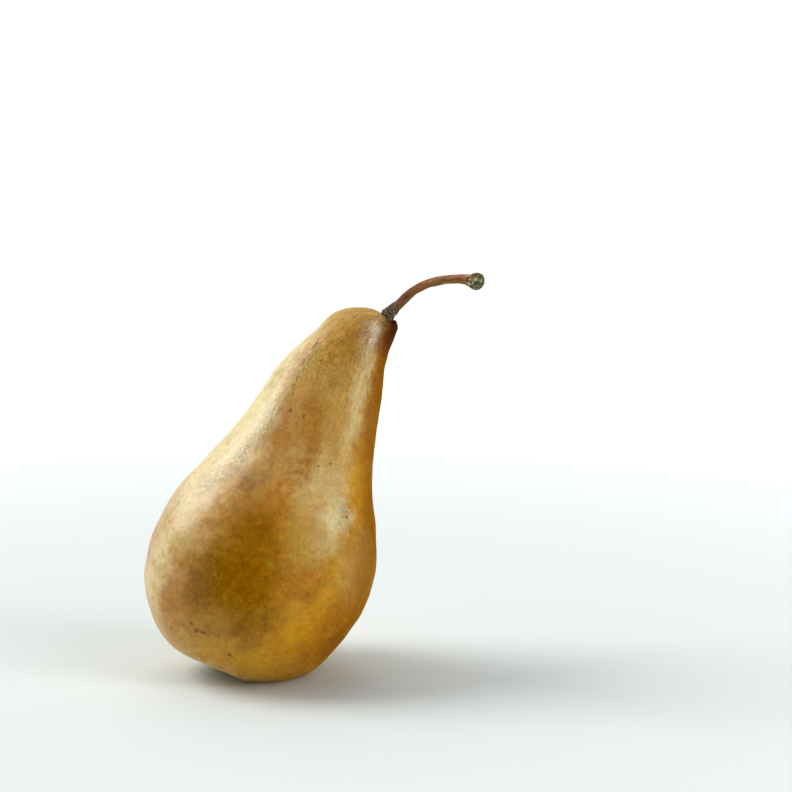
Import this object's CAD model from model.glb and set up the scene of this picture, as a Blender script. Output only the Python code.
import math

import bpy
from mathutils import Euler, Matrix, Vector


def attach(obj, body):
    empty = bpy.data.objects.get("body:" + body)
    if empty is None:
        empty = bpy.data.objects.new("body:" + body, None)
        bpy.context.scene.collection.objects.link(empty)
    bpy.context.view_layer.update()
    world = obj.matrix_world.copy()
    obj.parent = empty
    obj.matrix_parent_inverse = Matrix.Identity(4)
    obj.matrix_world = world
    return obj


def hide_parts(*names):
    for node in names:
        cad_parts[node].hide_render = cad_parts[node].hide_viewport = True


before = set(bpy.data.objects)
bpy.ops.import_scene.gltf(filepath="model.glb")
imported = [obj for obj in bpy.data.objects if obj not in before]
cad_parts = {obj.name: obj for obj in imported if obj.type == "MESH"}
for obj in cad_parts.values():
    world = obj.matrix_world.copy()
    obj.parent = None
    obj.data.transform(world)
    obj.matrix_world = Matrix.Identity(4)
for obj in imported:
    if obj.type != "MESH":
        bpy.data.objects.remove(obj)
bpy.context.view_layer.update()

mm = 0.001
print("frame loaded:", ", ".join(sorted(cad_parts)))


# Node trees

class Wire:  # an output socket that can stand in an expression
    def __init__(self, tree, socket):
        self.tree = tree
        self.socket = socket

    def maths(self, operation, *values):
        return self.tree.add("ShaderNodeMath", {"operation": operation}, values)

    def __add__(self, other):
        return self.maths("ADD", self, other)

    def __radd__(self, other):
        return self.maths("ADD", other, self)

    def __sub__(self, other):
        return self.maths("SUBTRACT", self, other)

    def __rsub__(self, other):
        return self.maths("SUBTRACT", other, self)

    def __mul__(self, other):
        return self.maths("MULTIPLY", self, other)

    def __rmul__(self, other):
        return self.maths("MULTIPLY", other, self)

    def __truediv__(self, other):
        return self.maths("DIVIDE", self, other)

    def __pow__(self, other):
        return self.maths("POWER", self, other)

    def cos(self):
        return self.maths("COSINE", self)

    def sin(self):
        return self.maths("SINE", self)

    def exp(self):
        return self.maths("EXPONENT", self)

    def size(self):
        return self.maths("ABSOLUTE", self)

    def atMost(self, other):
        return self.maths("MINIMUM", self, other)

    def atLeast(self, other):
        return self.maths("MAXIMUM", self, other)

    def wrapped(self):  # an angle brought into half a turn either way
        return self.maths("WRAP", self, math.pi, -math.pi)

    def ease(self, low, high):  # 0 at low, 1 at high, smooth between
        sockets = {"Value": self, "From Min": low, "From Max": high}
        return self.tree.add("ShaderNodeMapRange", {"interpolation_type": "SMOOTHSTEP"}, sockets)

    def output(self, name):  # another output of the same node
        return Wire(self.tree, self.socket.node.outputs[name])


class Tree:  # a node tree, and the one method that adds a node to it
    def __init__(self, nodeTree):
        self.nodeTree = nodeTree
        self.sizes = {}

    def add(self, kind, settings=None, sockets=(), output=0):
        node = self.nodeTree.nodes.new(kind)
        for name, value in (settings or {}).items():
            if name == "points":
                self.setPoints(node.mapping, value)
            else:
                setattr(node, name, value)
        for name, value in sockets.items() if isinstance(sockets, dict) else enumerate(sockets):
            if isinstance(value, Wire):
                self.nodeTree.links.new(value.socket, node.inputs[name])
            else:
                node.inputs[name].default_value = value
        return Wire(self, node.outputs[output]) if node.outputs else None

    def setPoints(self, mapping, points):
        curve = mapping.curves[0]
        while len(curve.points) < len(points):
            curve.points.new(0.5, 0.5)
        for point, place in zip(curve.points, points):
            point.location = place
        mapping.update()

    def split(self, vector):
        parts = self.add("ShaderNodeSeparateXYZ", None, (vector,))
        return parts, parts.output("Y"), parts.output("Z")

    def join(self, x, y, z):
        return self.add("ShaderNodeCombineXYZ", None, (x, y, z))

    def scaled(self, vector, amount):
        return self.add("ShaderNodeVectorMath", {"operation": "SCALE"}, {"Vector": vector, "Scale": amount})

    def noise(self, vector, scale, detail=2.0, roughness=0.5):
        sockets = {"Vector": vector, "Scale": scale, "Detail": detail, "Roughness": roughness}
        return self.add("ShaderNodeTexNoise", None, sockets, "Fac")

    def mix(self, mask, low, high, way="MIX"):  # two colours
        settings = {"data_type": "RGBA", "blend_type": way}
        return self.add("ShaderNodeMix", settings, {0: mask, 6: low, 7: high}, 2)


def geometryTree(name, sizes):
    nodeTree = bpy.data.node_groups.new(name, "GeometryNodeTree")
    nodeTree.interface.new_socket("Geometry", in_out="INPUT", socket_type="NodeSocketGeometry")
    nodeTree.interface.new_socket("Geometry", in_out="OUTPUT", socket_type="NodeSocketGeometry")
    for label, size in sizes.items():
        kind = "NodeSocketInt" if isinstance(size, int) else "NodeSocketFloat"
        nodeTree.interface.new_socket(label, in_out="INPUT", socket_type=kind).default_value = size
    tree = Tree(nodeTree)
    source = nodeTree.nodes.new("NodeGroupInput")
    tree.sizes = {socket.name: Wire(tree, socket) for socket in source.outputs if socket.name}
    return tree


def finishTree(tree, geometry, material):
    geometry = tree.add("GeometryNodeSetShadeSmooth", None, {"Geometry": geometry, "Shade Smooth": True})
    geometry = tree.add("GeometryNodeRealizeInstances", None, {"Geometry": geometry})
    geometry = tree.add("GeometryNodeSetMaterial", None, {"Geometry": geometry, "Material": material})
    tree.add("NodeGroupOutput", None, {"Geometry": geometry})


def grown(name, source, tree, sizes):  # runs a tree on a mesh and keeps the plain result
    piece = bpy.data.objects.new(name, source)
    bpy.context.scene.collection.objects.link(piece)
    modifier = piece.modifiers.new("Grow", "NODES")
    modifier.node_group = tree.nodeTree
    for socket in tree.nodeTree.interface.items_tree:
        if socket.in_out == "INPUT" and socket.name in sizes:
            modifier[socket.identifier] = sizes[socket.name]
    depsgraph = bpy.context.evaluated_depsgraph_get()
    shape = piece.evaluated_get(depsgraph)
    mesh = bpy.data.meshes.new_from_object(shape, preserve_all_data_layers=True, depsgraph=depsgraph)
    piece.modifiers.remove(modifier)
    piece.data = mesh
    print(f"{name}: {sum(len(p.vertices) - 2 for p in mesh.polygons)} triangles")
    return piece


def polyline(name, points):
    mesh = bpy.data.meshes.new(name)
    mesh.from_pydata(points, [(i, i + 1) for i in range(len(points) - 1)], [])
    return mesh


def smoothCurve(t, source):  # a smooth curve through the points of a polyline
    curve = t.add("GeometryNodeMeshToCurve", None, {"Mesh": source})
    curve = t.add("GeometryNodeCurveSplineType", {"spline_type": "CATMULL_ROM"}, {"Curve": curve})
    return t.add("GeometryNodeSetSplineResolution", None, {"Geometry": curve, "Resolution": 24})


def stored(t, geometry, name, kind, value):
    sockets = {"Geometry": geometry, "Name": name, "Value": value}
    return t.add("GeometryNodeStoreNamedAttribute", {"data_type": kind, "domain": "POINT"}, sockets)


def attribute(t, name, kind):
    return t.add("GeometryNodeInputNamedAttribute", {"data_type": kind}, {"Name": name})


def chance(t, low, high, seed):  # a random number for each point
    return t.add("FunctionNodeRandomValue", {"data_type": "FLOAT"}, {2: low, 3: high, "Seed": seed}, 1)


def moved(t, geometry, **sockets):
    return t.add("GeometryNodeSetPosition", None, {"Geometry": geometry, **sockets})


def newMaterial(name):
    material = bpy.data.materials.new(name)
    material.use_nodes = True
    material.node_tree.nodes.clear()
    return material, Tree(material.node_tree)


def surface(t, **sockets):
    named = {name.replace("_", " "): value for name, value in sockets.items()}
    shader = t.add("ShaderNodeBsdfPrincipled", None, named)
    t.add("ShaderNodeOutputMaterial", None, {"Surface": shader})


# Camera: the bulb's centre lands where the photograph has it

lens = {
    "elevation": 10,  # degrees above the horizon
    "distance": 0.8,  # from the bulb's centre
    "pixelsPerMetre": 3170,  # at the bulb's centre
    "bulbAcross": 262.2,  # pixels from the left and the top of the frame
    "bulbDown": 560.0,
    "frame": 792,
    "sensor": 36.0,
}


def addCamera(aim):
    tilt = math.radians(lens["elevation"])
    back = Vector((0, -math.cos(tilt), math.sin(tilt)))
    up = Vector((0, math.sin(tilt), math.cos(tilt)))
    right = (lens["bulbAcross"] - lens["frame"] / 2) / lens["pixelsPerMetre"]
    rise = (lens["frame"] / 2 - lens["bulbDown"]) / lens["pixelsPerMetre"]
    camera = bpy.data.objects.new("camera", bpy.data.cameras.new("camera"))
    camera.data.sensor_width = lens["sensor"]
    camera.data.lens = lens["sensor"] * lens["pixelsPerMetre"] * lens["distance"] / lens["frame"]
    camera.data.clip_end = 60
    camera.location = aim + back * lens["distance"] - Vector((1, 0, 0)) * right - up * rise
    camera.rotation_euler = (math.pi / 2 - tilt, 0, 0)
    bpy.context.scene.collection.objects.link(camera)
    bpy.context.scene.camera = camera


# Skin: millimetres, as stations along the core from the bulb's widest place and bearings round it.
# Bearing 0 is to the right in the photograph and -90 towards the camera.

skin = {
    "leanRight": 24.3,
    "leanBack": 9.5,
    "bulbHeight": 35.9,
    "outline": [  # station, radius, and the station whose core it is centred on
        (-29.4, 0.4, -31.4),
        (-29.8, 2.8, -31.4),
        (-32.2, 4.4, -32.2),
        (-34.2, 8.2, -34.2),
        (-35.8, 12.8, -35.8),
        (-34.4, 19.0, -34.4),
        (-28.8, 25.4, -28.8),
        (-18.5, 31.6, -18.5),
        (-4.0, 35.2, -4.0),
        (9.5, 34.0, 9.5),
        (21.5, 28.9, 21.5),
        (33.0, 23.7, 33.0),
        (46.0, 20.2, 46.0),
        (60.0, 17.0, 60.0),
        (71.0, 13.3, 71.0),
        (79.0, 10.4, 79.0),
        (83.3, 7.0, 83.3),
        (85.0, 3.8, 85.0),
        (84.5, 2.6, 84.6),
        (82.6, 2.1, 84.6),
        (82.4, 0.3, 84.6),
    ],
    "drift": {"right": -2.8, "away": 1.2, "station": 58, "reach": 22},
    "baseDrift": {"right": -0.9, "station": -32, "reach": 16},
    "hook": {"right": 9.5, "start": 76, "length": 12},
    "tip": {"slope": 0.38, "bearing": 20, "start": 72, "length": 12},
    "lip": {"rise": 2.6, "bearing": 10, "reach": 42, "start": 80, "length": 5},
    "lobes": {"count": 3, "share": 0.02, "bearing": -35, "twist": 0.25},
    "ribs": {"count": 5, "share": 0.045, "bearing": 20, "station": -37, "reach": 8},
    "hillFade": 8,
    "hills": [  # station, bearing, reach, height
        (30, 178, 12, 1.4),
        (3, 180, 10, -0.9),
        (-31, 180, 9, -1.0),
        (-27, -4, 10, 1.7),
        (19, 0, 11, 1.1),
        (71, 0, 7, -0.8),
        (20, -118, 13, -1.0),
        (8, -48, 12, 0.6),
        (-12, -92, 13, -0.6),
        (50, 65, 12, -0.8),
        (4, 105, 16, 0.9),
        (69, -75, 8, -0.5),
        (-16, 150, 12, -0.7),
        (82, -45, 3, -1.0),
        (-35, -42, 8, -1.3),
        (-36, -80, 7, -0.6),
        (82, 180, 5, -1.0),
        (-37, 178, 6, -0.7),
    ],
    "sizes": {  # the tree's named inputs
        "Sides": 288,
        "Rings": 316,
        "Flat Ease": 0.7,
        "Lump Height": 0.9,
        "Dimple Height": 0.38,
        "Wrinkle Height": 0.32,
        "Pore Depth": 0.05,
    },
}

leaning = Matrix.Translation((0, 0, skin["bulbHeight"] * mm)) @ Euler(
    (-math.radians(skin["leanBack"]), math.radians(skin["leanRight"]), 0)
).to_matrix().to_4x4() @ Matrix.Scale(mm, 4)


def leanNode(t):  # carries millimetres in the fruit's own frame into the scene
    rotation = (-math.radians(skin["leanBack"]), math.radians(skin["leanRight"]), 0)
    sockets = {"Translation": (0, 0, skin["bulbHeight"] * mm), "Rotation": rotation, "Scale": (mm, mm, mm)}
    return t.add("FunctionNodeCombineTransform", None, sockets)


def bell(value, middle, reach):
    away = (value - middle) / reach
    return (away * away * -1).exp()


def patch(station, bearing, radius, spot):  # 1 in a spot's middle: its station, bearing and two reaches
    along = (station - spot[0]) / spot[2]
    across = (bearing - math.radians(spot[1])).wrapped() * radius / spot[3]
    return ((along * along + across * across) * -1).exp()


def skinRadius(station, bearing, plain):
    lobes, ribs = skin["lobes"], skin["ribs"]
    turn = bearing - math.radians(lobes["bearing"]) - math.radians(lobes["twist"]) * station
    lobe = (turn * lobes["count"]).cos() * lobes["share"]
    turn = bearing - math.radians(ribs["bearing"])
    rib = (turn * ribs["count"]).cos() * ribs["share"] * bell(station, ribs["station"], ribs["reach"])
    fade = plain.ease(0, skin["hillFade"])
    relief = (lobe + rib) * plain
    for place, side, reach, height in skin["hills"]:
        relief = relief + patch(station, bearing, plain, (place, side, reach, reach)) * height
    return plain + relief * fade


def growSkin(material):
    t = geometryTree("grow skin", skin["sizes"])
    profile = smoothCurve(t, t.sizes["Geometry"])
    sockets = {"Vertices": t.sizes["Sides"], "Side Segments": t.sizes["Rings"], "Radius": 1.0, "Depth": 1.0}
    tube = t.add("GeometryNodeMeshCylinder", {"fill_type": "TRIANGLE_FAN"}, sockets)
    x, y, z = t.split(t.add("GeometryNodeInputPosition"))
    bearing = t.add("ShaderNodeMath", {"operation": "ARCTAN2"}, (y, x))
    sockets = {"Curves": profile, "Factor": z + 0.5}
    settings = {"mode": "FACTOR", "use_all_curves": True}
    sample = t.add("GeometryNodeSampleCurve", settings, sockets, "Position")
    station, plain, core = t.split(sample)
    plain = plain * (x * x + y * y).ease(0, 1)  # the middles of both end caps lie on the core

    drift, hook, tip = skin["drift"], skin["hook"], skin["tip"]
    neck = bell(core, drift["station"], drift["reach"])
    bend = ((core - hook["start"]) / hook["length"]).atLeast(0) ** 2
    base = bell(core, skin["baseDrift"]["station"], skin["baseDrift"]["reach"]) * skin["baseDrift"]["right"]
    radius = skinRadius(station, bearing, plain)
    slope = station.ease(tip["start"], tip["start"] + tip["length"]) * tip["slope"]
    lip = skin["lip"]
    turn = (bearing - math.radians(lip["bearing"])).wrapped()
    raised = bell(turn, 0, math.radians(lip["reach"])) * lip["rise"]
    raised = raised * station.ease(lip["start"], lip["start"] + lip["length"])
    drop = slope * radius * (bearing - math.radians(tip["bearing"])).cos() - raised
    right = neck * drift["right"] + bend * hook["right"] + base + radius * bearing.cos()
    away = neck * drift["away"] + radius * bearing.sin()

    grain = t.join(radius * bearing.cos(), radius * bearing.sin(), station)
    tube = stored(t, tube, "grain", "FLOAT_VECTOR", grain)
    place = t.add("FunctionNodeTransformPoint", None, (t.join(right, away, station - drop), leanNode(t)))
    tube = moved(t, tube, Position=place)
    tube = moved(t, tube, Offset=skinRelief(t))

    x, y, z = t.split(t.add("GeometryNodeInputPosition"))  # press the skin flat where it rests
    width = t.sizes["Flat Ease"] * mm
    share = (0.5 + z * 0.5 / width).atLeast(0).atMost(1)
    tube = moved(t, tube, Position=t.join(x, y, z * share + width * share * (1 - share)))
    finishTree(t, tube, material)
    return t


def skinRelief(t):  # soft lumps everywhere, fine folds along the neck and round the stem
    grain = attribute(t, "grain", "FLOAT_VECTOR")
    x, y, station = t.split(grain)
    bearing = t.add("ShaderNodeMath", {"operation": "ARCTAN2"}, (y, x))
    radius = (x * x + y * y) ** 0.5
    lumps = (t.noise(grain, 0.075, 1.0) - 0.5) * t.sizes["Lump Height"]
    dimples = (t.noise(grain, 0.19, 2.0) - 0.5) * t.sizes["Dimple Height"]
    folds = t.noise(t.join(x, y, station * 0.12), 0.5, 3.0, 0.6) - 0.5
    folds = folds * (station.ease(18, 66) * 0.85 + 0.15) * t.sizes["Wrinkle Height"]
    puckers = (bearing * 9 + t.noise(grain, 0.3) * 6).cos() * bell(station, 84.5, 4)
    puckers = puckers * radius.ease(1, 4) * 0.22
    pores = t.noise(grain, 1.1, 1.0).ease(0.6, 0.78) * t.sizes["Pore Depth"] * -1
    height = lumps + dimples + folds + puckers + pores
    return t.scaled(t.add("GeometryNodeInputNormal"), height * mm)


# Finish of the skin

skinLook = {
    "honey": (0.50, 0.235, 0.012, 1),
    "tan": (0.56, 0.33, 0.070, 1),
    "gold": (0.62, 0.30, 0.007, 1),
    "amber": (0.43, 0.165, 0.003, 1),
    "olive": (0.285, 0.115, 0.0004, 1),
    "lime": (0.50, 0.38, 0.025, 1),
    "cream": (0.80, 0.68, 0.39, 1),
    "sienna": (0.22, 0.060, 0.002, 1),
    "blush": (1.08, 0.93, 0.80, 1),
    "fresh": (0.95, 1.03, 0.75, 1),
    "deepen": (0.74, 0.61, 0.26, 1),
    "lift": (1.28, 1.25, 1.1, 1),
    "umber": (0.085, 0.030, 0.004, 1),
    "maroon": (0.060, 0.012, 0.004, 1),
    "zones": {  # station, bearing, reach along, reach round, in millimetres
        "cream": [
            (0, -168, 26, 18),
            (8, -153, 22, 6.5),
            (36, -166, 22, 13),
            (64, -172, 14, 8),
            (56, -146, 14, 6),
            (62, -135, 8, 4),
            (26, -54, 6, 3),
            (22, -63, 7, 3.5),
            (58, -57, 16, 2.6),
            (80, -74, 4, 3.5),
            (79, -72, 4, 3),
            (2, -163, 20, 8),
            (32, -84, 8, 6),
            (-37, -50, 3, 22),
        ],
        "tan": [
            (22, -84, 7, 9),
            (34, -70, 10, 7),
            (2, -134, 12, 7),
            (-20, -98, 5, 14),
            (-35, -55, 6, 24),
            (-26, -80, 5, 16),
            (-26, -38, 6, 10),
            (4, -70, 7, 4),
            (54, -82, 20, 9),
            (10, -72, 8, 4),
            (-2, -66, 6, 4),
            (80, -125, 6, 8),
            (26, -135, 12, 6),
            (15, 150, 16, 16),
            (-14, 60, 12, 18),
            (48, 60, 16, 8),
        ],
        "gold": [
            (-8, -58, 9, 14),
            (-18, -68, 8, 11),
            (34, -42, 12, 4),
            (70, -122, 9, 6),
            (57, -128, 9, 5),
            (-29, -70, 4, 16),
            (-8, -124, 3, 4),
            (20, 90, 16, 12),
            (-22, 150, 10, 14),
        ],
        "amber": [
            (-20, -40, 6, 6),
            (25, -98, 9, 4),
            (12, -101, 6, 5),
            (-19, -117, 5, 5),
            (-6, -44, 5, 5),
            (51, -101, 3.5, 4),
            (45, -92, 4, 3),
            (40, -90, 2.5, 2.5),
            (34, -89, 3, 3),
            (2, -66, 5, 4),
            (9, -122, 6, 3),
            (44, -122, 7, 2.5),
            (-4, -94, 5, 5),
            (16, -116, 5, 2.5),
            (-22, -136, 9, 5),
            (77, -92, 4, 4),
            (58, -36, 18, 3),
            (4, -90, 6, 5),
            (-2, -80, 5, 5),
            (-12, -122, 3, 4),
            (-18, -84, 5, 6),
            (37, -116, 7, 4),
            (84, -64, 2, 2.5),
            (79, -46, 4, 2.5),
            (8, 40, 16, 14),
            (60, 130, 18, 8),
            (-4, -170, 14, 10),
        ],
        "sienna": [
            (7, -28, 16, 10),
            (26, -20, 12, 6),
            (-12, -26, 8, 7),
            (48, -22, 14, 6),
            (68, -24, 12, 4),
            (80, -32, 5, 4),
        ],
        "dull": [  # and where it doesn't shine
            (4, -16, 20, 17),
            (30, -14, 18, 12),
            (-18, -16, 14, 18),
            (56, -18, 18, 7),
            (76, -22, 10, 5),
            (84, -30, 4, 4),
            (3, -99, 14, 11),
            (-9, -97, 8, 10),
            (8, -58, 9, 4),
        ],
        "waxy": [  # where the skin shines most
            (16, -134, 26, 13),
            (0, -165, 30, 16),
            (46, -128, 22, 8),
            (22, -62, 10, 5),
            (79, -74, 6, 4),
        ],
        "glossy": [(79.5, -72, 5, 3.2), (76, -74, 4, 3)],
        "olive": [
            (4, -105, 10, 9),
            (-8, -100, 9, 12),
            (-10, -117, 8, 7),
            (12, -104, 5, 5),
            (22, -120, 5, 4),
            (-18, -84, 5, 7),
            (-14, 110, 10, 14),
        ],
        "lime": [
            (11.5, -74.5, 3.2, 0.5),
            (5, -119, 1.1, 1.5),
            (2, -89, 0.8, 0.9),
            (-12, -84, 0.9, 0.8),
            (64, -124, 6, 1.6),
            (55, -128, 5, 1.8),
            (76, -148, 4, 1.5),
            (38, -128, 2.5, 2.5),
            (-18, 30, 2.2, 0.9),
        ],
        "crinkled": [  # where the skin has fine dry folds
            (17, -143, 4, 3.5),
            (27, -139, 6, 2.2),
            (40, -132, 6, 2),
            (62, -130, 9, 3),
            (66, -108, 8, 5),
            (79, -75, 6, 3.5),
            (24, -53, 3, 2),
        ],
        "maroon": [(86, 5, 5, 4), (85, -32, 3, 3), (81, -23, 7, 5), (85.5, 80, 3, 4)],
        "umber": [
            (47, -118, 0.8, 0.6),
            (47, -105, 0.9, 0.6),
            (69, -136, 1.2, 0.4),
            (35, -80, 0.5, 0.7),
            (37, -71, 0.5, 0.4),
            (24, -51, 0.6, 0.6),
            (-24.5, -116, 0.6, 0.8),
            (-26, -112, 0.8, 0.7),
            (-25.6, -107, 0.7, 1.6),
            (-29, -132, 0.5, 0.5),
            (-29, -84, 0.5, 1.3),
            (12, 40, 1.0, 0.7),
            (40, 95, 0.5, 1.4),
            (-12, 140, 0.7, 0.9),
        ],
    },
    "cracks": [  # fine dark lines: station, bearing, reach along, degrees round for each millimetre up
        (60, -131, 10, -0.6),
        (56, -127, 6, -0.9),
        (63, -112, 5, -0.7),
        (27, -139, 6, 0.5),
        (72, -84, 5, 0.3),
    ],
}


def skinMaterial():
    material, t = newMaterial("russet skin")
    look = skinLook
    grain = t.add("ShaderNodeAttribute", {"attribute_name": "grain"}, (), "Vector")
    x, y, station = t.split(grain)
    bearing = t.add("ShaderNodeMath", {"operation": "ARCTAN2"}, (y, x))
    radius = (x * x + y * y) ** 0.5

    clouds = t.noise(grain, 0.06, 3.0, 0.6)
    mottle = t.noise(grain, 0.22, 4.0, 0.6)
    drift = t.noise(grain, 0.15, 4.0, 0.65)
    neck = station.ease(25, 70)
    spots = t.noise(grain, 0.48, 4.0, 0.65) * (1 - neck)
    spots = spots + t.noise(t.join(x, y, station * 0.28), 0.75, 4.0, 0.6) * neck
    dust = t.noise(t.join(x, y, station * 0.6), 2.0, 3.0, 0.7)
    tinge = t.noise(grain, 0.9, 3.0, 0.6)
    streaks = t.noise(t.join(x, y, station * 0.1), 0.7, 3.0, 0.6)
    fibres = t.noise(t.join(x, y, station * 0.16), 1.1, 2.0, 0.5)

    def zone(name, wander=0.0):  # all of one colour's patches, their borders pulled about by noise
        along = station + (mottle - 0.5) * wander if wander else station
        across = bearing + (drift - 0.5) * (wander / 22) if wander else bearing
        total = 0
        for spot in look["zones"][name]:
            total = patch(along, across, radius, spot) + total
        return 1 - (total * -1.2).exp()

    broken = 0.65 + spots * 1.0
    colour = t.mix(clouds.ease(0.38, 0.66), look["honey"], look["tan"])
    colour = t.mix((zone("cream", 10) * 1.3).atMost(1), colour, look["cream"])
    colour = t.mix(zone("tan", 12) * 0.8, colour, look["tan"])
    colour = t.mix((zone("gold", 14) * broken).atMost(1), colour, look["gold"])
    colour = t.mix((zone("amber", 14) * broken).atMost(1), colour, look["amber"])
    colour = t.mix((zone("olive", 12) * broken).atMost(1), colour, look["olive"])
    colour = t.mix(zone("sienna", 8) * 0.9, colour, look["sienna"])
    colour = t.mix(spots.ease(0.50, 0.68) * (0.45 - neck * 0.25), colour, look["deepen"], "MULTIPLY")
    colour = t.mix(spots.ease(0.48, 0.32) * (0.6 - neck * 0.2), colour, look["lift"], "MULTIPLY")
    colour = t.mix(mottle.ease(0.52, 0.70) * 0.5, colour, look["deepen"], "MULTIPLY")
    colour = t.mix(mottle.ease(0.47, 0.30) * 0.3, colour, look["lift"], "MULTIPLY")
    colour = t.mix(tinge.ease(0.52, 0.64) * (1 - neck * 0.6), colour, look["blush"], "MULTIPLY")
    colour = t.mix(tinge.ease(0.47, 0.36) * (1 - neck * 0.6), colour, look["fresh"], "MULTIPLY")
    colour = t.mix(dust.ease(0.50, 0.64) * (0.4 + neck * 0.3), colour, look["deepen"], "MULTIPLY")
    colour = t.mix(dust.ease(0.48, 0.36) * (0.4 + neck * 0.3), colour, look["lift"], "MULTIPLY")
    colour = t.mix(zone("lime", 6) * 0.55, colour, look["lime"])
    colour = t.mix(streaks.ease(0.5, 0.66) * neck * 0.45, colour, look["deepen"], "MULTIPLY")
    colour = t.mix(streaks.ease(0.47, 0.34) * neck * 0.3, colour, look["lift"], "MULTIPLY")
    colour = t.mix(zone("maroon", 6), colour, look["maroon"])

    cracks = 0
    for place, side, reach, slant in look["cracks"]:
        course = bearing - math.radians(side) - (station - place) * math.radians(slant)
        off = course.wrapped() * radius + (mottle - 0.5) * 3 + (fibres - 0.5) * 1.5
        cracks = off.size().ease(0.22, 0.02) * bell(station, place, reach) + cracks
    cracks = cracks.atMost(1) * spots.ease(0.42, 0.55)
    crinkles = t.noise(t.join(x, y, station * 0.5), 1.5, 3.0, 0.65) - 0.5
    crinkles = crinkles.size().ease(0.05, 0.0) * zone("crinkled")
    scabs = (zone("umber") * (0.4 + spots * 1.3)).ease(0.25, 0.8)
    marks = (cracks * 0.7 + scabs * 0.7 + crinkles * 0.55).atMost(1)
    colour = t.mix(marks, colour, look["umber"])

    gloss = zone("glossy") * (dust.ease(0.40, 0.56) * 0.7 + 0.5)
    shine = (zone("waxy", 8) * (0.42 + spots * 0.5) + gloss + 0.06).atMost(1) * (1 - marks)
    roughness = 0.34 + mottle * 0.14 + marks * 0.3
    relief = dust * (1.2 + neck * 1.6) + spots * 0.8
    relief = relief + (streaks * 0.9 + fibres * 0.9) * (neck * 0.8 + 0.2)
    relief = relief - marks * 0.5 - crinkles * 1.5
    bump = t.add("ShaderNodeBump", None, {"Strength": 0.7, "Distance": 0.28 * mm, "Height": relief})
    sockets = {
        "Base Color": colour,
        "Roughness": roughness,
        "Normal": bump,
        "IOR": 1.26,
        "Coat Weight": shine,
        "Coat Roughness": 0.34,
        "Coat IOR": 1.65,
        "Subsurface Weight": 0.05,
        "Subsurface Radius": (1.0, 0.45, 0.12),
        "Subsurface Scale": 0.003,
    }
    waxed = t.add("ShaderNodeBsdfPrincipled", None, sockets)
    sockets = {"Base Color": colour, "Roughness": 1.0, "Normal": bump, "Specular IOR Level": 0.0}
    bare = t.add("ShaderNodeBsdfPrincipled", None, sockets)
    both = t.add("ShaderNodeMixShader", None, {0: (zone("dull") * 1.4).atMost(1), 1: waxed, 2: bare})
    t.add("ShaderNodeOutputMaterial", None, {"Surface": both})
    return material


# Lenticels: small corky dots, thickest on the bulb

lenticels = {
    "sizes": {"Spacing": 1.7, "Smallest": 0.06, "Largest": 0.16, "Flatness": 0.25, "Seed": 7},
    "cork": (0.20, 0.09, 0.015, 1),
    "pale": (0.55, 0.35, 0.12, 1),
}


def lenticelMaterial():
    material, t = newMaterial("lenticel cork")
    place = t.add("ShaderNodeTexCoord", None, (), "Object")
    shade = t.noise(place, 600.0, 1.0)
    colour = t.mix(shade.ease(0.35, 0.65), lenticels["cork"], lenticels["pale"])
    surface(t, Base_Color=colour, Roughness=0.75)
    return material


def growLenticels(material):
    t = geometryTree("grow lenticels", lenticels["sizes"])
    place = t.add("GeometryNodeInputPosition")
    clear = t.add("ShaderNodeMath", {"operation": "GREATER_THAN"}, (t.split(place)[2], 0.9 * mm))
    sockets = {
        "Mesh": t.sizes["Geometry"],
        "Selection": clear,
        "Distance Min": t.sizes["Spacing"] * mm,
        "Density Max": 260000.0,
        "Density Factor": t.noise(place, 70.0).ease(0.35, 0.6),
        "Seed": t.sizes["Seed"],
    }
    dots = t.add("GeometryNodeDistributePointsOnFaces", {"distribute_method": "POISSON"}, sockets)
    size = chance(t, t.sizes["Smallest"] * mm, t.sizes["Largest"] * mm, t.sizes["Seed"])
    dot = t.add("GeometryNodeMeshIcoSphere", None, {"Radius": 1.0, "Subdivisions": 1})
    sockets = {
        "Points": dots,
        "Instance": dot,
        "Rotation": dots.output("Rotation"),
        "Scale": t.join(size, size, size * t.sizes["Flatness"]),
    }
    finishTree(t, t.add("GeometryNodeInstanceOnPoints", None, sockets), material)
    return t


# Stem: a ridged bark tube along its line, with a wrinkled knob and the scar where it broke off

stem = {
    "line": [  # right, away, station, in millimetres in the fruit's own frame
        (3.5, -0.7, 79.6),
        (4.8, 0.0, 86.4),
        (7.0, 0.2, 92.3),
        (9.7, -0.6, 97.7),
        (14.6, -2.6, 102.6),
        (20.1, -5.6, 105.9),
        (23.9, -8.6, 107.1),
        (26.6, -12.6, 107.6),
    ],
    "radii": [  # share of the way along, radius in millimetres
        (0.0, 1.8),
        (0.12, 2.0),
        (0.16, 2.3),
        (0.20, 1.95),
        (0.27, 1.6),
        (0.36, 1.45),
        (0.6, 1.4),
        (0.82, 1.55),
        (0.9, 2.15),
        (0.96, 2.7),
        (1.0, 0.02),
    ],
    "widest": 4.0,  # top of the radius curve
    "faceStart": 0.96,
    "knobStart": 0.83,
    "sizes": {
        "Sides": 96,
        "Steps": 240,
        "Ridge Height": 0.10,
        "Bark Height": 0.15,
        "Knob Wrinkles": 0.38,
        "Scar Depth": 0.5,
    },
    "bark": (0.30, 0.125, 0.034, 1),
    "rust": (0.30, 0.085, 0.026, 1),
    "olive": (0.25, 0.135, 0.022, 1),
    "grey": (0.60, 0.42, 0.31, 1),
    "shade": (0.050, 0.016, 0.005, 1),
    "moss": (0.048, 0.052, 0.018, 1),
    "tan": (0.62, 0.47, 0.24, 1),
    "scar": (0.12, 0.115, 0.055, 1),
    "rim": (0.022, 0.011, 0.012, 1),
}


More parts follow.
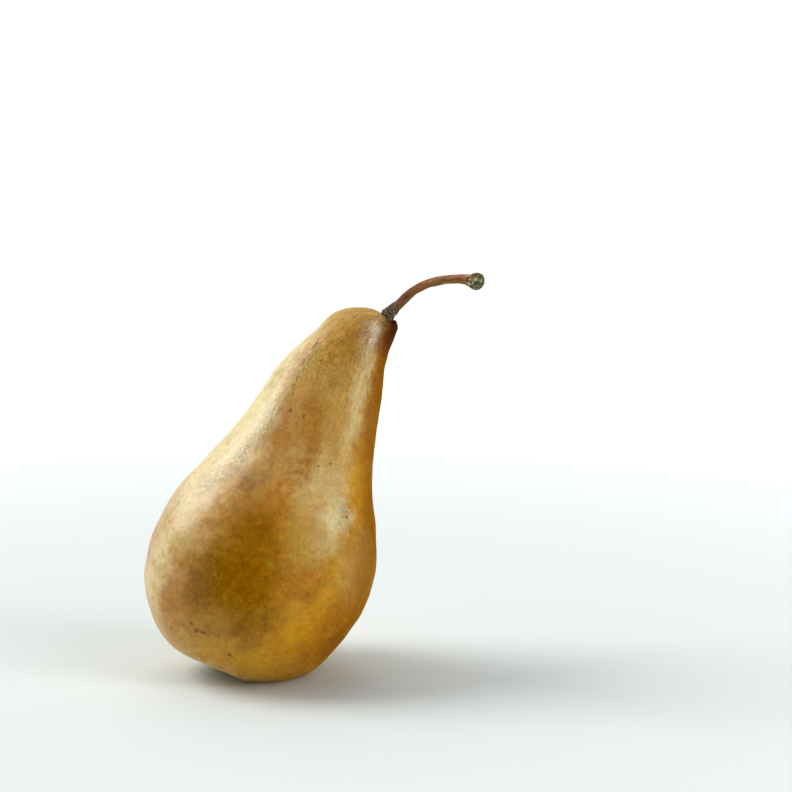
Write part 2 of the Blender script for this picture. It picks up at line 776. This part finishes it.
def growStem(material):
    t = geometryTree("grow stem", stem["sizes"])
    line = smoothCurve(t, t.sizes["Geometry"])
    line = t.add("GeometryNodeResampleCurve", None, {"Curve": line, "Count": t.sizes["Steps"]})
    whole = t.add("GeometryNodeCurveLength", None, (line,))
    share = t.add("GeometryNodeSplineParameter")
    line = stored(t, line, "share", "FLOAT", share)
    line = stored(t, line, "along", "FLOAT_VECTOR", t.add("GeometryNodeInputTangent"))
    ring = t.add("GeometryNodeCurvePrimitiveCircle", None, {"Resolution": t.sizes["Sides"], "Radius": 1.0})
    ring = stored(t, ring, "turn", "FLOAT", t.add("GeometryNodeSplineParameter") * (2 * math.pi))
    points = [(place, radius / stem["widest"]) for place, radius in stem["radii"]]
    radius = t.add("ShaderNodeFloatCurve", {"points": points}, {"Value": share}) * (stem["widest"] * mm)
    sockets = {"Curve": line, "Profile Curve": ring, "Scale": radius, "Fill Caps": True}
    tube = t.add("GeometryNodeCurveToMesh", None, sockets)

    share = attribute(t, "share", "FLOAT")
    turn = attribute(t, "turn", "FLOAT")
    bark = t.join(turn.cos() * 2, turn.sin() * 2, share * whole / mm)  # millimetres round and along
    tube = stored(t, tube, "bark", "FLOAT_VECTOR", bark)
    bark = attribute(t, "bark", "FLOAT_VECTOR")
    x, y, run = t.split(bark)
    knob = share.ease(stem["knobStart"], stem["faceStart"])
    face = share.ease(stem["faceStart"], 1)
    ridges = (turn * 3 + share * 11).cos() * t.sizes["Ridge Height"]
    base = share.ease(0.30, 0.20)
    cracks = (t.noise(t.join(x, y, run * 0.16), 1.1, 4.0, 0.6) - 0.5) * t.sizes["Bark Height"] * 2
    cracks = cracks + (t.noise(t.join(x, y, run * 0.8), 1.2, 3.0, 0.6) - 0.5) * base * 1.5
    swellings = (t.noise(bark, 0.22, 1.0) - 0.5) * 0.7
    wrinkles = (t.noise(t.join(x, y, run * 0.5), 1.5, 3.0, 0.6) - 0.5) * t.sizes["Knob Wrinkles"] * knob * 2
    height = (ridges + cracks + swellings + wrinkles) * (1 - face * 0.6)
    tube = moved(t, tube, Offset=t.scaled(t.add("GeometryNodeInputNormal"), height * mm * (1 - face)))
    beyond = (share - stem["faceStart"]).atLeast(0) * whole  # the end face is drawn back and dished
    reach = (1 - share) / (1 - stem["faceStart"])
    dents = (t.noise(t.join(x * reach, y * reach, 0), 0.9, 3.0) - 0.5) * 1.4
    dish = face * (t.sizes["Scar Depth"] + dents) * mm
    along = attribute(t, "along", "FLOAT_VECTOR")
    tube = moved(t, tube, Offset=t.scaled(along, (beyond + dish) * -1))
    tube = stored(t, tube, "under", "FLOAT", t.split(t.add("GeometryNodeInputNormal"))[2] * -1)
    finishTree(t, tube, material)
    return t


def stemMaterial():
    material, t = newMaterial("stem bark")
    bark = t.add("ShaderNodeAttribute", {"attribute_name": "bark"}, (), "Vector")
    share = t.add("ShaderNodeAttribute", {"attribute_name": "share"}, (), "Fac")
    under = t.add("ShaderNodeAttribute", {"attribute_name": "under"}, (), "Fac")
    x, y, run = t.split(bark)
    fibres = t.noise(t.join(x, y, run * 0.12), 1.4, 4.0, 0.65)
    blotches = t.noise(bark, 0.35, 3.0, 0.6)
    specks = t.noise(bark, 2.2, 2.0, 0.6)
    collar = share.ease(0.29, 0.17)
    colour = t.mix(blotches.ease(0.4, 0.62), stem["bark"], stem["rust"])
    colour = t.mix(under.ease(-0.2, 0.5) * 0.85, colour, stem["olive"])
    colour = t.mix(under.ease(0.6, 1.0) * share.ease(0.5, 0.7) * 0.8, colour, stem["tan"])
    colour = t.mix(fibres.ease(0.47, 0.32) * 0.75, colour, stem["shade"])
    colour = t.mix(share.ease(0.55, 0.3) * 0.45, colour, stem["shade"])
    flakes = t.noise(t.join(x, y, run * 0.2), 2.0, 3.0, 0.65)
    colour = t.mix(flakes.ease(0.54, 0.66) * under.ease(0.3, -0.7) * 0.8, colour, stem["grey"])
    colour = t.mix(flakes.ease(0.45, 0.36) * 0.6, colour, stem["shade"])
    colour = t.mix(collar * (0.5 + blotches * 0.6), colour, stem["moss"])
    colour = t.mix(collar * specks.ease(0.54, 0.66) * 0.5, colour, stem["grey"])
    colour = t.mix(collar * specks.ease(0.48, 0.36), colour, stem["rim"])

    folds = t.noise(t.join(x * 2, y * 2, run * 0.3), 1.0, 3.0, 0.6)
    knob = t.mix(folds.ease(0.46, 0.56), stem["shade"], stem["tan"])
    colour = t.mix(share.ease(0.84, 0.90) * (0.4 + specks), colour, knob)
    colour = t.mix(share.ease(0.945, 0.962) * 0.9, colour, stem["rim"])
    reach = (1 - share) / (1 - stem["faceStart"])
    flecks = t.noise(t.join(x * reach, y * reach, 0), 3.0, 4.0, 0.7)
    scar = t.mix(flecks.ease(0.53, 0.62), stem["scar"], stem["tan"])
    scar = t.mix(flecks.ease(0.49, 0.42), scar, stem["rim"])
    colour = t.mix(share.ease(0.966, 0.974), colour, scar)
    roughness = 0.55 + fibres * 0.3
    bumpHeight = fibres + specks * 0.4 + flakes
    bump = t.add("ShaderNodeBump", None, {"Strength": 0.6, "Distance": 0.2 * mm, "Height": bumpHeight})
    surface(t, Base_Color=colour, Roughness=roughness, Normal=bump, Specular_IOR_Level=0.25)
    return material


# Calyx: a cup in the basin with dried sepals round it and withered stamens inside

calyx = {
    "right": -0.9,  # the basin's middle, off the core
    "cup": [  # station and radius, in millimetres
        (-27.8, 0.2),
        (-27.8, 2.45),
        (-30.5, 2.5),
        (-32.2, 2.5),
        (-32.7, 2.15),
        (-32.6, 1.75),
        (-31.4, 1.5),
        (-30.4, 1.2),
        (-30.4, 0.1),
    ],
    "rim": -32.6,
    "sizes": {
        "Sepals": 5,
        "Sepal Length": 5.9,
        "Sepal Width": 3.4,
        "Sepal Thickness": 0.32,
        "Curl": 4.0,
        "Stamens": 18,
        "Stamen Length": 3.2,
        "Seed": 3,
    },
    "husk": (0.060, 0.032, 0.016, 1),
    "dry": (0.20, 0.125, 0.065, 1),
    "char": (0.012, 0.007, 0.004, 1),
}


def calyxFrame(t, geometry):
    return moved(t, geometry, Position=t.add(
        "FunctionNodeTransformPoint", None, (t.add("GeometryNodeInputPosition"), leanNode(t))
    ))


def sepalBlade(t):  # a folded, pointed blade that leaves the rim and curls over the basin
    sockets = {"Size": (1, 1, 1), "Vertices X": 26, "Vertices Y": 13, "Vertices Z": 2}
    blade = t.add("GeometryNodeMeshCube", None, sockets)
    x, y, z = t.split(t.add("GeometryNodeInputPosition"))
    share = x + 0.5
    taper = ((1 - share * share).atLeast(0.004) ** 0.5) * (0.76 + (share * math.pi).sin() * 0.24)
    across = y * t.sizes["Sepal Width"] * taper
    curl = (share * 1.3).sin() * t.sizes["Curl"]
    trough = (across * across) * (1 - share) * 0.28
    crumple = (t.noise(t.join(share * 3, y, 0), 2.4, 3.0) - 0.5) * 0.9 * share
    edge = (y * y * 40 * share).atMost(1) * (t.noise(t.join(share * 9, y, 3), 2.0) - 0.5) * 0.5
    thick = z * t.sizes["Sepal Thickness"] * (1.2 - share)
    rise = calyx["rim"] + 0.9 - curl - trough + crumple + edge + thick
    place = t.join(1.7 + share * t.sizes["Sepal Length"], across, rise)
    return moved(t, blade, Position=place)


def growCalyx(material):
    t = geometryTree("grow calyx", calyx["sizes"])
    profile = smoothCurve(t, t.sizes["Geometry"])
    sockets = {"Vertices": 48, "Side Segments": 40, "Radius": 1.0, "Depth": 1.0}
    cup = t.add("GeometryNodeMeshCylinder", {"fill_type": "TRIANGLE_FAN"}, sockets)
    x, y, z = t.split(t.add("GeometryNodeInputPosition"))
    sockets = {"Curves": profile, "Factor": z + 0.5}
    settings = {"mode": "FACTOR", "use_all_curves": True}
    sample = t.add("GeometryNodeSampleCurve", settings, sockets, "Position")
    station, radius, _ = t.split(sample)
    cup = moved(t, cup, Position=t.join(x * radius, y * radius * -1, station))

    count = t.sizes["Sepals"]
    turn = t.add("GeometryNodeInputIndex") / count * (2 * math.pi)
    spots = t.add("GeometryNodePoints", None, {"Count": count, "Position": (0, 0, 0)})
    wander = chance(t, -0.12, 0.12, t.sizes["Seed"])
    stretch = chance(t, 0.9, 1.06, 11)
    rotation = t.add("FunctionNodeEulerToRotation", None, (t.join(0, 0, turn + wander),))
    sockets = {
        "Points": spots,
        "Instance": sepalBlade(t),
        "Rotation": rotation,
        "Scale": t.join(stretch, stretch, 1),
    }
    sepals = t.add("GeometryNodeInstanceOnPoints", None, sockets)

    sockets = {"Vertices": 8, "Side Segments": 8, "Radius": 1.0, "Depth": 1.0}
    stalk = t.add("GeometryNodeMeshCylinder", None, sockets)
    x, y, z = t.split(t.add("GeometryNodeInputPosition"))
    share = 0.5 - z
    thick = 0.12 + share.ease(0.8, 1) * 0.16
    lean = share * share * 1.1
    drop = share * t.sizes["Stamen Length"] * -1
    stalk = moved(t, stalk, Position=t.join(x * thick + lean, y * thick, drop))
    count = t.sizes["Stamens"]
    turn = t.add("GeometryNodeInputIndex") / count * (2 * math.pi)
    ring = t.join(turn.cos() * 1.05, turn.sin() * 1.05, -30.3)
    roots = t.add("GeometryNodePoints", None, {"Count": count, "Position": ring})
    length = chance(t, 0.7, 1.05, 5)
    sway = chance(t, -0.5, 0.5, 9)
    rotation = t.add("FunctionNodeEulerToRotation", None, (t.join(sway * 0.4, sway * 0.3, turn + sway),))
    sockets = {"Points": roots, "Instance": stalk, "Rotation": rotation, "Scale": t.join(1, 1, length)}
    stamens = t.add("GeometryNodeInstanceOnPoints", None, sockets)

    whole = t.nodeTree.nodes.new("GeometryNodeJoinGeometry")
    for part in (cup, sepals, stamens):
        t.nodeTree.links.new(part.socket, whole.inputs[0])
    whole = t.add("GeometryNodeRealizeInstances", None, {"Geometry": Wire(t, whole.outputs[0])})
    whole = moved(t, whole, Offset=(calyx["right"], 0, 0))
    whole = stored(t, whole, "husk", "FLOAT_VECTOR", t.add("GeometryNodeInputPosition"))
    finishTree(t, calyxFrame(t, whole), material)
    return t


def calyxMaterial():
    material, t = newMaterial("dry husk")
    husk = t.add("ShaderNodeAttribute", {"attribute_name": "husk"}, (), "Vector")
    x, y, station = t.split(husk)
    far = ((x - calyx["right"]) * (x - calyx["right"]) + y * y) ** 0.5
    fibres = t.noise(husk, 1.6, 4.0, 0.65)
    colour = t.mix(fibres.ease(0.42, 0.64), calyx["husk"], calyx["dry"])
    colour = t.mix(far.ease(4.5, 7.5) * 0.6, colour, calyx["dry"])
    colour = t.mix(far.ease(2.2, 1.2) * 0.8, colour, calyx["char"])
    bump = t.add("ShaderNodeBump", None, {"Strength": 0.6, "Distance": 0.15 * mm, "Height": fibres})
    surface(t, Base_Color=colour, Roughness=0.7 + fibres * 0.2, Normal=bump)
    return material


# Studio

studio = {
    "floorRadius": 14.0,
    "floorSides": 96,
    "near": (0.71, 0.745, 0.73, 1),  # graduated paper, lighter farther off
    "far": (0.885, 0.93, 0.92, 1),
    "tent": (0.94, 0.985, 0.98, 1),  # what the room sends in from all sides
    "tentStrength": 0.66,
    "front": 0.05,  # share of it that comes from the camera's side
    "flag": 0.75,  # share of it that is kept off on the right
    "boxes": {  # soft boxes far off: degrees to the right of the camera, degrees up, degrees wide, strength
        "left": (-103, 43, 34, 2.0),
        "right": (68, 13, 20, 1.15),
        "front": (52, 42, 28, 0.5),
        "back": (-150, 58, 60, 0.6),
    },
}


def addFloor():
    mesh = bpy.data.meshes.new("floor")
    radius, count = studio["floorRadius"], studio["floorSides"]
    turns = [2 * math.pi * i / count for i in range(count)]
    rim = [(radius * math.cos(turn), radius * math.sin(turn), 0) for turn in turns]
    mesh.from_pydata(rim, [], [list(range(count))])
    floor = bpy.data.objects.new("floor", mesh)
    bpy.context.scene.collection.objects.link(floor)
    material, t = newMaterial("floor paper")
    x, y, z = t.split(t.add("ShaderNodeTexCoord", None, (), "Object"))
    paper = t.mix((x * x + y * y).ease(0.0, 0.2), studio["near"], studio["far"])
    surface(t, Base_Color=paper, Roughness=1.0, Specular_IOR_Level=0.0)
    mesh.materials.append(material)


def addTent():  # pale light from all round, weaker from the camera's side
    world = bpy.data.worlds.new("tent")
    world.use_nodes = True
    world.node_tree.nodes.clear()
    t = Tree(world.node_tree)
    x, y, z = t.split(t.add("ShaderNodeTexCoord", None, (), "Generated"))
    strength = (y.ease(-0.85, -0.1) * (1 - studio["front"]) + studio["front"]) * studio["tentStrength"]
    strength = strength * (1 - x.ease(0.1, 0.9) * studio["flag"])
    light = t.add("ShaderNodeBackground", None, {"Color": studio["tent"], "Strength": strength})
    t.add("ShaderNodeOutputWorld", None, {"Surface": light})
    bpy.context.scene.world = world


def addBoxes():
    for name, (side, up, width, strength) in studio["boxes"].items():
        light = bpy.data.lights.new(name, "SUN")
        light.angle = math.radians(width)
        light.energy = strength
        lamp = bpy.data.objects.new(name, light)
        lamp.rotation_euler = (math.radians(90 - up), 0, math.radians(side))
        bpy.context.scene.collection.objects.link(lamp)


# The scene

addCamera(Vector((0, 0, skin["bulbHeight"] * mm)))
pearSkin = grown("pear_skin", polyline("outline", skin["outline"]), growSkin(skinMaterial()), skin["sizes"])
dots = grown("lenticels", pearSkin.data, growLenticels(lenticelMaterial()), lenticels["sizes"])
stemPoints = [leaning @ Vector(point) for point in stem["line"]]
pearStem = grown("pear_stem", polyline("stem line", stemPoints), growStem(stemMaterial()), stem["sizes"])
cup = polyline("cup outline", [(station, radius, 0) for station, radius in calyx["cup"]])
pearCalyx = grown("pear_calyx", cup, growCalyx(calyxMaterial()), calyx["sizes"])

for piece, slot, node in (
    (pearSkin, "skin", "fruit"),
    (dots, "skin", None),
    (pearStem, "stem", "stem"),
    (pearCalyx, "calyx", "calyx"),
):
    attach(piece, "root")
    if node:
        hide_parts(node)
print("pieces ride on the root")

addFloor()
addTent()
addBoxes()
bpy.context.scene.view_settings.view_transform = "Standard"
print("studio ready")
